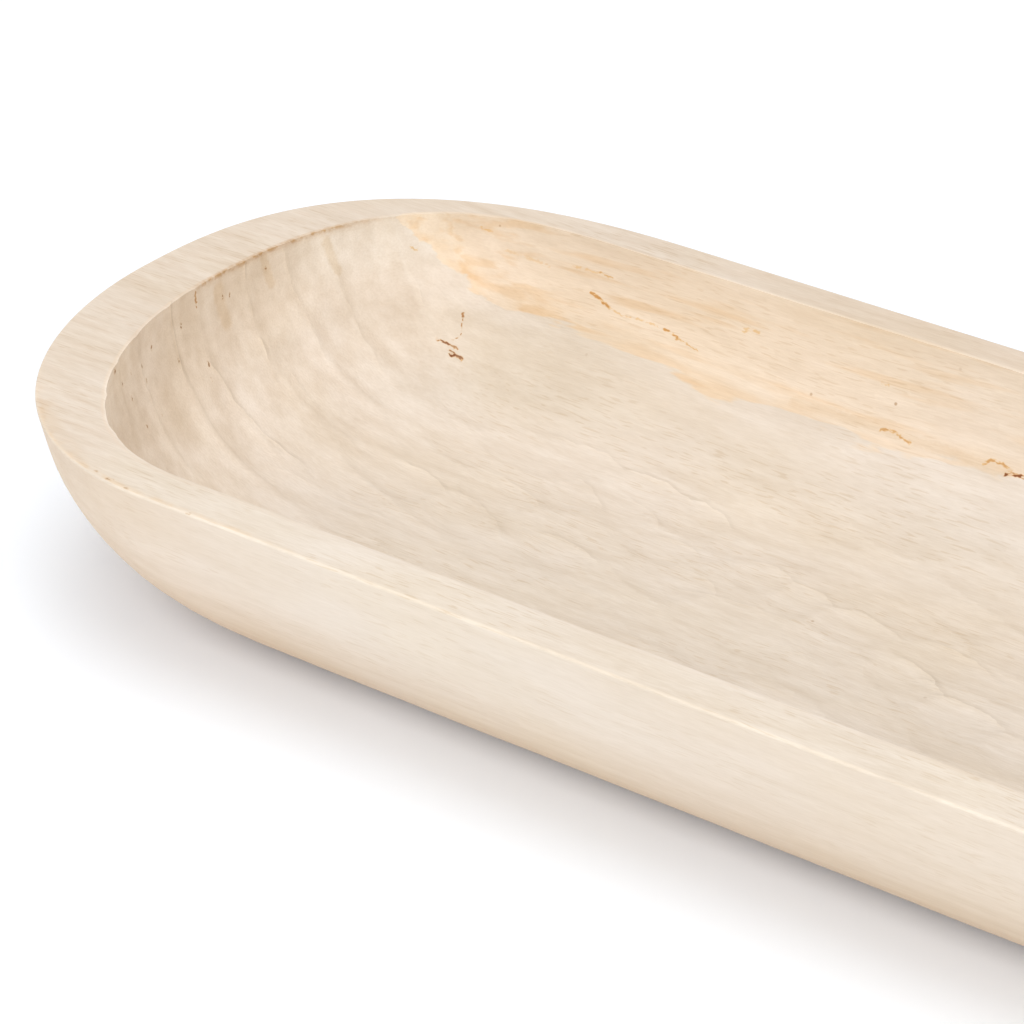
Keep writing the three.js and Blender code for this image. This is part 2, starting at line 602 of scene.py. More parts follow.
def basinCuts():
    rule = floorScoops
    draw = random.Random(rule["seed"])
    slope = math.tan(math.radians(rule["rowSlope"]))
    offX, offY = rule["offPlace"]
    cuts = []
    for row in range(-rule["rows"], rule["rows"] + 1):
        phase = draw.uniform(0, rule["pitch"])
        for number in range(-rule["inRow"], rule["inRow"] + 1):
            x = number * rule["pitch"] + phase + draw.uniform(-offX, offX)
            y = rule["rowPlace"] + row * rule["rowPitch"] + slope * x + draw.uniform(-offY, offY)
            size = draw.uniform(*rule["sizes"])
            depth = rule["depth"] * draw.uniform(*rule["depths"])
            turn = math.radians(rule["turn"] + draw.gauss(0, rule["turnSpread"]))
            if abs(x) < rule["reachAlong"] and abs(y) < rule["reachAcross"]:
                wall = min(max((abs(y) - rule["wallFrom"]) / rule["wallRun"], 0), 1)
                length = rule["halfLength"] * size * (1 + rule["wallLonger"] * wall)
                turn *= 1 - rule["wallStraighter"] * wall
                widths = rule["nearWidth"] * size, rule["farWidth"] * size
                cuts.append(makeCut((x, y), length, *widths, depth, turn))
    for bold in rule["bold"]:
        place, halfLength, turn = boldPlace(bold, rule["boldBack"])
        nearWidth = rule["boldWidth"] * rule["boldNearShare"]
        cuts.append(makeCut(place, halfLength, nearWidth, rule["boldWidth"], bold[4] * mm, turn))
    return cuts + endCuts()


# the middle of a bold cut, from the middle of its far edge in mm
def boldPlace(bold, back):
    u, v, length, turnDegrees, _ = bold
    turn = math.radians(turnDegrees)
    behind = back[0] + floorScoops["boldWidth"] * back[1]
    place = (u * mm + behind * math.sin(turn), v * mm - behind * math.cos(turn))
    return place, length * mm * floorScoops["boldLengthShare"], turn


def endCuts():
    rule = endFlutes
    draw = random.Random(rule["seed"])
    cuts = []
    for endSign in (-1, 1):
        shift = 0.0 if endSign < 0 else rule["rightShift"]
        for low, high in zip(rule["edges"], rule["edges"][1:]):
            middle = (low + high) / 2 + shift
            halfWidth = (high - low) * rule["overlap"] / 2
            for place in rule["places"]:
                turn = math.radians(draw.uniform(-rule["turnReach"], rule["turnReach"]))
                x = place + draw.uniform(-rule["offPlace"], rule["offPlace"])
                length = rule["halfLength"] * draw.uniform(*rule["lengths"])
                nearWidth = halfWidth * draw.uniform(*rule["nearShares"])
                depth = rule["depth"] * draw.uniform(*rule["depths"])
                middlePlace = (endSign * x, middle)
                cuts.append(makeCut(middlePlace, length, nearWidth, halfWidth, depth, turn))
    return cuts


def hullCuts():
    rule = hullFacets
    draw = random.Random(rule["seed"])
    cuts = []
    for row in range(-rule["rows"], rule["rows"] + 1):
        phase = draw.uniform(0, rule["pitch"])
        for number in range(-rule["inRow"], rule["inRow"] + 1):
            x = number * rule["pitch"] + phase
            y = row * rule["rowPitch"] + draw.uniform(-rule["offPlace"], rule["offPlace"])
            length = rule["halfLength"] * draw.uniform(*rule["lengths"])
            nearWidth = rule["halfWidth"] * draw.uniform(*rule["widths"])
            depth = rule["depth"] * draw.uniform(*rule["depths"])
            turn = math.radians(draw.gauss(0, rule["turnSpread"]))
            cuts.append(makeCut((x, y), length, nearWidth, rule["halfWidth"], depth, turn))
    return cuts


def cutCloud(name, cuts):
    mesh = bpy.data.meshes.new(name)
    mesh.vertices.add(len(cuts))
    mesh.vertices.foreach_set("co", np.array([c["place"] for c in cuts], np.float32).ravel())
    storeVectors(mesh, "cutSize", [c["size"] for c in cuts])
    storeVectors(mesh, "cutLie", [c["lie"] for c in cuts])
    cloud = bpy.data.objects.new(name, mesh)
    scene.collection.objects.link(cloud)
    return cloud


def namedValue(tree, name, kind="FLOAT"):
    read = wireNode(tree, "GeometryNodeInputNamedAttribute", {"Name": name}, data_type=kind)
    return read["Attribute"]


def sampleCut(tree, cloud, name, index):
    if name == "position":
        value = addNode(tree, "GeometryNodeInputPosition").outputs[0]
    else:
        value = namedValue(tree, name, "FLOAT_VECTOR")
    sample = wireNode(
        tree, "GeometryNodeSampleIndex", {"Geometry": cloud, "Value": value, "Index": index},
        data_type="FLOAT_VECTOR", domain="POINT",
    )
    return splitVector(tree, sample[0])


def isLess(tree, low, high):
    kind = "FunctionNodeCompare"
    return wireNode(tree, kind, {"A": low, "B": high}, data_type="FLOAT", operation="LESS_THAN")[0]


def keepValue(tree, geometry, name, value, where=None):
    return wireNode(
        tree, "GeometryNodeStoreNamedAttribute",
        {"Geometry": geometry, "Selection": where, "Name": name, "Value": value},
        data_type="FLOAT", domain="POINT",
    )[0]


unevenness = {
    "detail": 2.0,
    "wobbleScale": 95.0,
    "tearScale": 520.0,
    "tearSeed": 7.0,
}


def makeCarvingTree():
    tree = bpy.data.node_groups.new("gougeCuts", "GeometryNodeTree")
    for name, kind in (
        ("Geometry", "Geometry"), ("Cuts", "Object"), ("Where", "String"), ("Side name", "String"),
        ("Ridge softness", "Float"), ("Near steepness", "Float"), ("Hand wobble", "Float"),
        ("Tear", "Float"), ("Seed", "Float"), ("Wood", "Material"),
    ):
        tree.interface.new_socket(name, in_out="INPUT", socket_type="NodeSocket" + kind)
    tree.interface.new_socket("Geometry", in_out="OUTPUT", socket_type="NodeSocketGeometry")
    given = addNode(tree, "NodeGroupInput").outputs
    cloud = wireNode(tree, "GeometryNodeObjectInfo", {"Object": given["Cuts"]})["Geometry"]
    size = wireNode(tree, "GeometryNodeAttributeDomainSize", {"Geometry": cloud}, component="MESH")

    repeatIn = addNode(tree, "GeometryNodeRepeatInput")
    repeatOut = addNode(tree, "GeometryNodeRepeatOutput")
    repeatIn.pair_with_output(repeatOut)
    feed(tree, repeatIn.inputs["Iterations"], size["Point Count"])
    feed(tree, repeatIn.inputs["Geometry"], keepValue(tree, given["Geometry"], "carved", 0.0))

    index = repeatIn.outputs["Iteration"]
    placeX, placeY, _ = sampleCut(tree, cloud, "position", index)
    halfLength, nearWidth, farWidth = sampleCut(tree, cloud, "cutSize", index)
    turnCos, turnSin, depth = sampleCut(tree, cloud, "cutLie", index)
    offX = minus(tree, namedValue(tree, "cutAlong"), placeX)
    offY = minus(tree, namedValue(tree, "cutAcross"), placeY)
    lengthwise = mathNode(tree, "MULTIPLY_ADD", offX, turnCos, multiply(tree, offY, turnSin))
    crosswise = minus(tree, multiply(tree, offY, turnCos), multiply(tree, offX, turnSin))
    isFar = mathNode(tree, "GREATER_THAN", crosswise, 0.0)
    width = mathNode(tree, "MULTIPLY_ADD", isFar, minus(tree, farWidth, nearWidth), nearWidth)
    lengthShare = mathNode(tree, "DIVIDE", lengthwise, halfLength)
    widthShare = mathNode(tree, "DIVIDE", crosswise, width)
    steepness = minus(tree, given["Near steepness"], isFar)
    acrossShare = mathNode(tree, "POWER", mathNode(tree, "ABSOLUTE", widthShare), steepness)
    bowl = mathNode(tree, "MULTIPLY_ADD", lengthShare, lengthShare, acrossShare)
    scoop = multiply(tree, minus(tree, bowl, 1.0), depth)
    before = namedValue(tree, "carved")
    lowest = mathNode(tree, "SMOOTH_MIN", before, scoop, given["Ridge softness"])
    # each point remembers on which side of its deepest cut it lies
    cut, deeper = repeatIn.outputs["Geometry"], isLess(tree, scoop, before)
    cut = keepValue(tree, cut, given["Side name"], widthShare, deeper)
    feed(tree, repeatOut.inputs["Geometry"], keepValue(tree, cut, "carved", lowest))

    def uneven(scale, seedShift):
        noise = wireNode(tree, "ShaderNodeTexNoise", {
            "W": mathNode(tree, "ADD", given["Seed"], seedShift), "Scale": scale,
            "Detail": unevenness["detail"],
        }, noise_dimensions="4D")
        return minus(tree, noise["Fac"], 0.5)

    wobble = multiply(tree, uneven(unevenness["wobbleScale"], 0.0), given["Hand wobble"])
    carved = mathNode(tree, "ADD", namedValue(tree, "carved"), wobble)
    carved = mathNode(tree, "MINIMUM", carved, 0.0)
    inward = multiply(tree, carved, namedValue(tree, given["Where"]))
    chips = uneven(unevenness["tearScale"], unevenness["tearSeed"])
    chips = multiply(tree, chips, given["Tear"], namedValue(tree, "torn"))
    inward = minus(tree, inward, mathNode(tree, "MAXIMUM", chips, 0.0))
    carveWay = namedValue(tree, "carveWay", "FLOAT_VECTOR")
    offset = scaled(tree, carveWay, multiply(tree, inward, -1.0))
    skin = repeatOut.outputs["Geometry"]
    skin = wireNode(tree, "GeometryNodeSetPosition", {"Geometry": skin, "Offset": offset})[0]
    skin = wireNode(tree, "GeometryNodeRealizeInstances", {0: skin})[0]
    paint = {"Geometry": skin, "Material": given["Wood"]}
    wireNode(tree, "NodeGroupOutput", {0: wireNode(tree, "GeometryNodeSetMaterial", paint)[0]})
    return tree


carvings = {
    "basin": {
        "Ridge softness": 0.00006, "Near steepness": 4.0, "Hand wobble": 0.00060, "Tear": 0.0010,
        "Seed": 3.0,
    },
    "hull": {
        "Ridge softness": 0.00015, "Near steepness": 3.5, "Hand wobble": 0.00030, "Tear": 0.0,
        "Seed": 9.0,
    },
}


def addCarving(body, tree, name, **values):
    modifier = body.modifiers.new(name, "NODES")
    modifier.node_group = tree
    for item in tree.interface.items_tree:
        if item.in_out == "INPUT" and item.name in values:
            modifier[item.identifier] = values[item.name]


def applyCarvings(body):
    depsgraph = bpy.context.evaluated_depsgraph_get()
    carved = bpy.data.meshes.new_from_object(body.evaluated_get(depsgraph))
    body.modifiers.clear()
    body.data = carved


# wood: pale sapwood, grain along X, with orange heartwood high on the far inner wall
# a noise: where it is read, stretch, detail, shift, and between which values it comes up

sapwood = {
    "colour": (0.790, 0.706, 0.618),
    # painted shade: the whole hollow a little darker
    "hollowPaintedShade": (0.968, 0.962, 0.962),
    "roughness": (0.56, 0.72),
    # how the grain darkens the wood: stretch along and across the grain, colour, noise range
    "layers": (
        {"stretch": (7, 28, 28), "shade": (0.955, 0.940, 0.915), "range": (0.35, 0.65)},
        {"stretch": (14, 22, 22), "shade": (0.990, 0.978, 0.945), "range": (0.40, 0.66)},
        {"stretch": (30, 230, 230), "shade": (0.925, 0.905, 0.875), "range": (0.32, 0.70)},
        {"stretch": (190, 1500, 1500), "shade": (0.930, 0.918, 0.898), "range": (0.30, 0.70)},
    ),
    "layerShift": 7.3,
    "topFrom": (-0.0011, -0.0003),  # below the rim's height
    "outsideCalm": 0.40,  # the sanded outside shows its grain less
    "farCalm": 0.20,  # and so does the far inner wall
    "farCalmAt": (0.070, 0.100),
    "pores": ("bent", (150, 1600, 1600), 0.0, 31.0, 0.62, 0.74),
    "poreCrowds": ("bent", (16, 60, 60), 0.0, 47.0, 0.40, 0.62),
    "fewestPores": 0.25,
    "poreShade": (0.91, 0.87, 0.81),
    "crossedAt": (-0.195, -0.245),  # from here the gouge crossed the grain
    "crossedCalm": 0.8,  # and left few open pores
    "speckSpread": 75.0,
    "speckSize": (0.060, 0.025),
    "speckRarity": 0.55,
    "speckShade": (0.62, 0.50, 0.38),
    "wander": (0, 0.0044, 0.0044),
    "wanderStretch": (9, 16, 16),
    "grainDepth": 0.00007,
    "reliefRange": (0.3, 0.7),
}
heartwood = {
    "level": 0.042,  # its lower edge above the table
    "rise": 0.034,  # how much higher that edge starts at the end
    "start": -0.263,
    "startRun": 0.018,
    "dip": 0.0030,  # and it hangs lower between these places
    "dipFrom": (-0.185, -0.145),
    "dipTo": (-0.025, -0.085),
    "pale": (-0.16, 0.02),  # it grows paler along this stretch
    "paleShare": 0.55,
    "fade": (0.25, 0.10),
    "farFrom": (0.055, 0.075),
    "ragged": ("bent", (34, 190, 190), 3.0, 61.0),
    "raggedness": 0.015,
    "edgeSoft": (-0.0006, 0.0008),
    "shade": (1.090, 1.030, 0.940),
    "nearEdge": (0.011, 0.001),
    "edgeNoise": ("bent", (28, 120, 120), 2.0, 71.0, 0.36, 0.60),
    "edgeShade": (0.978, 0.918, 0.835),
    "streaks": ("bent", (16, 210, 210), 2.0, 83.0, 0.50, 0.66),
    "streakShade": (0.955, 0.880, 0.775),
}
# each shade multiplies the wood's colour on part of the skin: some are its own tone, some are
# painted light and painted shade, as marked. Each shade lies on a face or within an earlier shade,
# and comes up from the first to the second place along an axis, in metres.
faceTonesAndPaintedLight = {
    # the far and end rim darker: the wood's own tone and painted shade where less light falls
    "farRim": {"on": "farOrEnd", "shade": (0.965, 0.940, 0.920)},
    "rimStreaks": {"on": "farOrEnd", "noise": ("bent", (48, 300, 300), 2.0, 53.0, 0.46, 0.66),
                   "shade": (0.968, 0.949, 0.930)},
    "wall": {"on": "outside", "shade": (1.016, 1.004, 0.996)},
    # painted shade: the outside darker and warmer towards the bottom, where it turns under
    "lowBandPaintedShade": {"on": "outside", "z": (0.056, 0.018), "shade": (0.955, 0.900, 0.835)},
    "undersidePaintedShade": {"on": "outside", "z": (0.030, 0.010), "shade": (0.975, 0.930, 0.880)},
    "hullEnd": {"on": "outside", "x": (-0.100, -0.275), "shade": (0.953, 0.892, 0.830)},
    # painted shade standing in for a hewn face that turns towards the tip, on the near side
    "paintedFacetShade": {"on": "outside", "y": (-0.020, -0.050), "lean": (-0.2095, -0.2130),
              "shade": (0.984, 0.977, 0.968)},
    "wallRight": {"on": "outside", "x": (-0.060, 0.020), "z": (0.030, 0.050),
                  "shade": (0.988, 0.974, 0.958)},
    "tip": {"on": "outside", "x": (-0.265, -0.300), "shade": (0.975, 0.935, 0.890)},
    # darker again to the right of the far rim: the wood's own tone and painted shade
    "farRimRight": {"on": "onTop", "x": (-0.20, -0.02), "y": (0.06, 0.10),
                    "shade": (0.966, 0.940, 0.912)},
    "endWall": {"on": "inside", "x": (-0.215, -0.265), "shade": (1.034, 1.001, 0.960)},
    # painted light: the end wall lighter towards the back
    "endBackPaintedLight": {"on": "endWall", "y": (-0.050, 0.040), "shade": (1.035, 1.060, 1.100)},
    "blotches": {"on": "endWall", "noise": ("straight", (60, 85, 26), 2.0, 37.0, 0.40, 0.62),
                 "shade": (0.928, 0.910, 0.888)},
    "endLow": {"on": "endWall", "y": (0.030, 0.000), "z": (0.050, 0.032),
               "shade": (1.008, 1.020, 1.036)},
    # painted shade: the floor of the hollow darker
    "floor": {"on": "inside", "y": (-0.045, -0.012), "z": (0.036, 0.022),
              "shade": (0.958, 0.960, 0.962)},
    # the far side paler under the rim and darker at its foot: painted light and painted shade
    "wallTopPaintedLight": {"on": "farOrEndWall", "z": (0.052, 0.073), "shade": (1.055, 1.070, 1.080)},
    "cornerTopPaintedLight": {"on": "inside", "x": (-0.235, -0.258), "y": (0.035, 0.065), "z": (0.040, 0.064),
                  "shade": (1.045, 1.080, 1.100)},
    "nearCornerPaintedLight": {"on": "endWall", "y": (-0.035, -0.060), "z": (0.052, 0.070),
                   "shade": (1.075, 1.095, 1.115)},
    # less of that painted light where the heartwood starts
    "heartStart": {"on": "wallTopPaintedLight", "x": (-0.150, -0.195), "y": (0.080, 0.094),
                   "shade": (0.950, 0.950, 0.956)},
    "farFootPaintedShade": {"on": "inside", "y": (0.040, 0.062), "z": (0.017, 0.026), "under": (0.056, 0.040),
                "shade": (0.952, 0.950, 0.942)},
    "cornerFootPaintedShade": {"on": "inside", "x": (-0.150, -0.200), "y": (-0.010, 0.035),
                   "z": (0.0145, 0.024), "under": (0.056, 0.040), "shade": (0.936, 0.937, 0.932)},
    "rightFootPaintedShade": {"on": "inside", "x": (-0.085, -0.020), "y": (0.046, 0.066), "z": (0.042, 0.030),
                  "shade": (0.952, 0.950, 0.942)},
    # painted light: the far inner wall lighter
    "farWall": {"on": "inside", "x": (-0.240, -0.030), "y": (0.075, 0.100),
                "shade": (1.065, 1.085, 1.125)},
}
faceRanges = {
    "rimEnd": (-0.205, -0.245),
    "rimFar": (0.02, 0.10),
    "wallFar": (0.040, 0.075),
    "facetLean": 0.2,
}
# the rim's edges: torn inside, rubbed and worn outside; the worn line is also a painted highlight
edgeWearAndHighlight = {
    "tornNoise": ("straight", (420, 420, 420), 2.0, 5.0, 0.38, 0.60),
    "leastTorn": 0.45,
    "tornShade": (0.66, 0.47, 0.27),
    "rubbedNoise": ("straight", (160, 160, 160), 3.0, 13.0, 0.36, 0.62),
    "leastRubbed": 0.20,
    "rubbedLine": (0.62, 0.95),
    "rubbedX": (-0.125, -0.175),
    "rubbedY": (-0.075, -0.100),
    "broadX": (-0.220, -0.245),  # the rubbed line widens towards the tip
    "broadShare": 0.75,
    "rubbedShade": (0.975, 0.905, 0.810),
    "wornNoise": ("straight", (45, 45, 45), 2.0, 9.0, 0.25, 0.55),
    # paler on the outer arris: worn wood and a painted highlight
    "wornShade": (1.06, 1.055, 1.04),
}
# marks in the wood: kind, face, half width in mm, strength and pixels of the photograph
marks = (
    ("dark", "corner", 0.55, 0.80, ((436, 338), (444, 341), (450, 344))),
    ("dark", "corner", 0.45, 0.62, ((445, 342), (457, 348))),
    ("dark", "corner", 0.60, 0.80, ((449, 350), (456, 355))),
    ("dark", "corner", 0.60, 0.75, ((454, 354), (462, 358))),
    ("dark", "corner", 0.95, 1.30, ((451.5, 353.5), (452.5, 354.5))),
    ("dark", "farWall", 0.55, 0.90, ((1004, 475), (1012, 475), (1026, 478))),
    ("thread", "corner", 0.45, 0.90, ((463, 313), (463, 318))),
    ("thread", "corner", 0.34, 0.80, ((463, 318), (462, 324), (462, 331), (459, 337), (452, 339))),
    ("thread", "endWall", 0.45, 0.70, ((196, 292), (198, 307))),
    ("orange", "farWall", 0.55, 0.30, ((572, 266), (598, 273))),
    ("orange", "farWall", 0.60, 0.65, ((600, 274), (611, 277))),
    ("orange", "farWall", 0.62, 0.85, ((591, 293), (600, 300), (609, 308))),
    ("orange", "farWall", 0.42, 0.40, ((609, 308), (622, 316), (640, 320), (657, 326))),
    ("orange", "farWall", 0.55, 0.85, ((664, 329), (676, 338))),
    ("orange", "farWall", 0.32, 0.60, ((676, 338), (697, 351))),
    ("orange", "corner", 0.45, 0.55, ((411, 247), (417, 249))),
    ("orange", "farWall", 0.70, 0.40, ((482, 228), (490, 231))),
    ("orange", "farWall", 0.70, 0.25, ((503, 250), (522, 256), (548, 266))),
    ("orange", "farWall", 0.80, 0.50, ((743, 331), (750, 330), (758, 333))),
    ("orange", "farWall", 0.55, 0.45, ((882, 383), (888, 385))),
    ("orange", "farWall", 0.55, 0.70, ((880, 430), (888, 430), (896, 434), (905, 440), (909, 444))),
    ("orange", "farWall", 0.55, 0.75, ((983, 464), (990, 460), (1002, 464), (1010, 471))),
    ("stain", "endWall", 1.80, 1.00, ((266, 257), (275, 283))),
    ("stain", "endWall", 1.80, 0.90, ((328, 241), (340, 271))),
    ("stain", "endWall", 2.60, 1.00, ((221, 289), (230, 322))),
    ("stain", "farWall", 1.80, 0.70, ((793, 402), (890, 432), (1007, 473))),
)
# brown specks: face, half width in mm, strength and pixel of the photograph
specks = (
    ("floor", 0.45, 0.50, (760, 589)), ("floor", 0.45, 0.75, (835, 675)),
    ("floor", 0.40, 0.60, (641, 448)), ("floor", 0.40, 0.60, (691, 547)),
    ("floor", 0.40, 0.60, (669, 632)), ("floor", 0.45, 0.80, (782, 670)),
    ("floor", 0.40, 0.60, (829, 690)), ("floor", 0.85, 0.85, (109, 479)),
    ("floor", 0.60, 0.60, (126, 488)), ("floor", 0.55, 0.60, (188, 513)),
    ("floor", 0.50, 0.55, (96, 471)), ("endWall", 0.50, 0.90, (184, 325)),
    ("endWall", 0.55, 0.90, (155, 347)), ("endWall", 0.60, 0.90, (126, 382)),
    ("endWall", 0.50, 0.80, (136, 398)), ("endWall", 0.50, 0.90, (226, 296)),
    ("endWall", 0.50, 0.80, (233, 294)), ("endWall", 0.55, 0.95, (211, 364)),
    ("endWall", 0.65, 0.90, (117, 371)), ("endWall", 0.45, 0.80, (144, 366)),
    ("endWall", 0.45, 0.80, (135, 371)), ("endWall", 0.45, 0.80, (148, 380)),
    ("endWall", 0.45, 0.80, (180, 360)), ("endWall", 0.45, 0.70, (150, 426)),
    ("endWall", 0.45, 0.70, (214, 379)), ("endWall", 0.50, 0.80, (269, 268)),
    ("endWall", 0.45, 0.70, (165, 414)),
)
speckStretch = {"floor": (0.60, 1.0, 1.0), "endWall": (1.0, 1.0, 0.42)}
markFacing = {
    "corner": (0.50, -0.61, 0.61),
    "farWall": (0.0, -0.96, 0.28),
    "floor": (0.0, 0.0, 1.0),
    "endWall": (0.94, 0.0, 0.34),
}
markRule = {
    "flatten": 0.9,
    "fullTo": 0.4,  # in half widths
    "goneAt": 1.5,
    "shake": 0.0011,
    "shakeScale": 820.0,
    "broken": ("straight", (380, 900, 900), 1.0, 91.0, 0.38, 0.54),
    "leastBroken": 0.15,
    "haloFrom": (0.0, 0.40),
    "coreFrom": (0.35, 0.90),
}
# shade of the halo and of the core
markShades = {
    "dark": ((0.86, 0.64, 0.40), (0.33, 0.16, 0.06)),
    "thread": ((0.88, 0.74, 0.56), (0.62, 0.42, 0.26)),
    "orange": ((0.95, 0.82, 0.60), (0.76, 0.54, 0.28)),
    "speck": ((0.88, 0.80, 0.70), (0.48, 0.34, 0.24)),
    "stain": ((0.975, 0.955, 0.925), (0.955, 0.925, 0.875)),
}
# painted light at the edges the boldest cuts leave: highlight below the edge, shade beyond it
paintedRidgeLight = {
    "level": 0.66,
    "nick": 0.008,
    "brightFrom": 0.10,
    "darkTo": 1.20,
    "gone": 0.1,
    "steepness": 3.0,
    "reach": (0.45, 0.82),
    "shake": (0.0046, 0.0046, 0.0),
    "shakeScale": 110.0,
    "shakeDetail": 3.5,
    "depthFrom": 0.9,  # in mm: a bold cut this deep shows no edge
    "depthRun": 1.2,
    "paintedHighlight": (1.060, 1.058, 1.048),
    "paintedShade": (0.865, 0.850, 0.825),
    # faint painted highlight and painted shade on each side of the other cuts
    "weakBrightAt": (0.25, 0.80),
    "weakDarkAt": (-0.20, -0.75),
    "weakBright": (1.016, 1.016, 1.012),
    "weakDark": (0.962, 0.955, 0.944),
    "comeNoise": ("straight", (38, 38, 38), 1.0, 17.0),
    "come": (0.38, 0.60),  # the edges come and go between these noise values
    "boldLeast": 0.65,
    "weakLeast": 0.30,
    "fluteNoise": ("straight", (55, 55, 55), 2.0, 23.0, 0.43, 0.57),
    "fluteCalm": 0.9,
    "weakCalm": 0.65,
    # on the end wall: middle of the edge in mm, length in mm, turn in degrees, strength
    "endWall": [
        (-302, 24, 62, 0, 1.30), (-262, 28.5, 60, -6, 1.10), (-302, -1, 40, 0, 0.40),
        (-268, 0.5, 60, 4, 1.15), (-290, 45.5, 50, 2, 0.60), (-268, 61, 56, -6, 0.55),
        (-262, 84, 36, -9, 0.45), (-304, -16, 34, 3, 1.20), (-290, -40, 44, 5, 0.80),
        (-285, -60, 40, 6, 0.45), (-225, -4.5, 50, 3, 0.45),
    ],
}


def lessBy(tree, share, amount):
    return mathNode(tree, "MULTIPLY_ADD", share, -amount, 1.0)


def grainNoise(tree, place, stretch, detail=2.0, shift=0.0):
    stretched = vectorNode(tree, "MULTIPLY_ADD", place, stretch, (shift, shift, shift))
    inputs = {"Vector": stretched, "Scale": 1.0, "Detail": detail}
    return wireNode(tree, "ShaderNodeTexNoise", inputs)["Fac"]


def noiseShare(tree, places, noise, least=0.0, most=1.0):
    place, stretch, detail, shift, *limits = noise
    field = grainNoise(tree, places[place], stretch, detail, shift)
    return rangeNode(tree, field, *limits, least, most)


# a place that strays a little from the given one
def shakenPlace(tree, noisePlace, scale, detail, reach, place):
    inputs = {"Vector": noisePlace, "Scale": scale, "Detail": detail}
    noise = wireNode(tree, "ShaderNodeTexNoise", inputs)
    stray = vectorNode(tree, "SUBTRACT", noise["Color"], (0.5, 0.5, 0.5))
    return vectorNode(tree, "MULTIPLY_ADD", stray, reach, place)


def shaded(tree, colour, share, shade):
    if not isinstance(colour, bpy.types.NodeSocket):
        colour = (*colour, 1)
    inputs = {"Factor": share, "A": colour, "B": (*shade, 1)}
    mix = wireNode(tree, "ShaderNodeMix", inputs, data_type="RGBA", blend_type="MULTIPLY")
    return mix["Result"]


def attributeValue(tree, name):
    return addNode(tree, "ShaderNodeAttribute", attribute_name=name).outputs["Fac"]


def startGroup(name, inputs, output):
    group = bpy.data.node_groups.new(name, "ShaderNodeTree")
    for inputName, kind in inputs.items():
        group.interface.new_socket(inputName, in_out="INPUT", socket_type="NodeSocket" + kind)
    group.interface.new_socket(output, in_out="OUTPUT", socket_type="NodeSocketFloat")
    return group, addNode(group, "NodeGroupInput").outputs


def useGroup(tree, group, **values):
    return wireNode(tree, "ShaderNodeGroup", values, node_tree=group)[0]


# the nearness of a place to one straight piece of a line
def makeMarkGroup():
    group, given = startGroup("lineMark", {
        "Place": "Vector", "From": "Vector", "Span": "Vector", "ShareWay": "Vector",
        "FullTo": "Float", "GoneAt": "Float", "Strength": "Float", "Before": "Float",
    }, "Mark")
    toPlace = vectorNode(group, "SUBTRACT", given["Place"], given["From"])
    share = vectorNode(group, "DOT_PRODUCT", toPlace, given["ShareWay"], out=1)
    share = mathNode(group, "MINIMUM", mathNode(group, "MAXIMUM", share, 0.0), 1.0)
    nearest = scaled(group, given["Span"], share)
    distance = vectorNode(group, "DISTANCE", toPlace, nearest, out=1)
    mark = rangeNode(group, distance, given["FullTo"], given["GoneAt"], given["Strength"], 0.0)
    wireNode(group, "NodeGroupOutput", {0: mathNode(group, "MAXIMUM", mark, given["Before"])})
    return group


# the painted light round the far edge of one cut: above 0 is painted highlight, below is painted
# shade
def makePaintedRidgeGroup():
    group, given = startGroup("paintedRidgeEdge", {
        "Place": "Vector", "Middle": "Vector", "Lengthwise": "Vector", "Crosswise": "Vector",
        "Strength": "Float", "Before": "Float",
    }, "Tone")
    off = vectorNode(group, "SUBTRACT", given["Place"], given["Middle"])
    lengthShare = vectorNode(group, "DOT_PRODUCT", off, given["Lengthwise"], out=1)
    widthShare = vectorNode(group, "DOT_PRODUCT", off, given["Crosswise"], out=1)
    widthShare = mathNode(group, "MAXIMUM", widthShare, 0.0)
    steep = mathNode(group, "POWER", widthShare, paintedRidgeLight["steepness"])
    tone = addNode(group, "ShaderNodeFloatCurve")
    shapeEdge(tone.mapping)
    bowl = mathNode(group, "MULTIPLY_ADD", lengthShare, lengthShare, steep)
    feed(group, tone.inputs["Value"], bowl)
    reach = rangeNode(group, widthShare, *paintedRidgeLight["reach"], 0.0, given["Strength"])
    total = mathNode(group, "MULTIPLY_ADD", tone.outputs[0], reach, given["Before"])
    wireNode(group, "NodeGroupOutput", {0: total})
    return group


def shapeEdge(mapping):
    level, nick = paintedRidgeLight["level"], paintedRidgeLight["nick"]
    places = [(0.0, 0.0)]
    for start, stop, sign in (
        (paintedRidgeLight["brightFrom"], level - nick, 1), (paintedRidgeLight["darkTo"], level + nick, -1),
    ):
        shares = (0.0, 0.25, 0.5, 0.75, 1.0)
        rise = [(start + (stop - start) * share, sign * share) for share in shares]
        places += rise[::sign]
    places.append((paintedRidgeLight["darkTo"] + paintedRidgeLight["gone"], 0.0))
    mapping.clip_min_y, mapping.clip_max_x = -1.0, 2.0
    mapping.extend = "HORIZONTAL"
    points = mapping.curves[0].points
    while len(points) < len(places):
        points.new(0.5, 0.5)
    for point, (bowl, tone) in zip(points, places):
        easy = abs(tone) * abs(tone) * (3 - 2 * abs(tone))
        point.location = (bowl, math.copysign(easy, tone))
        point.handle_type = "VECTOR"
    mapping.update()


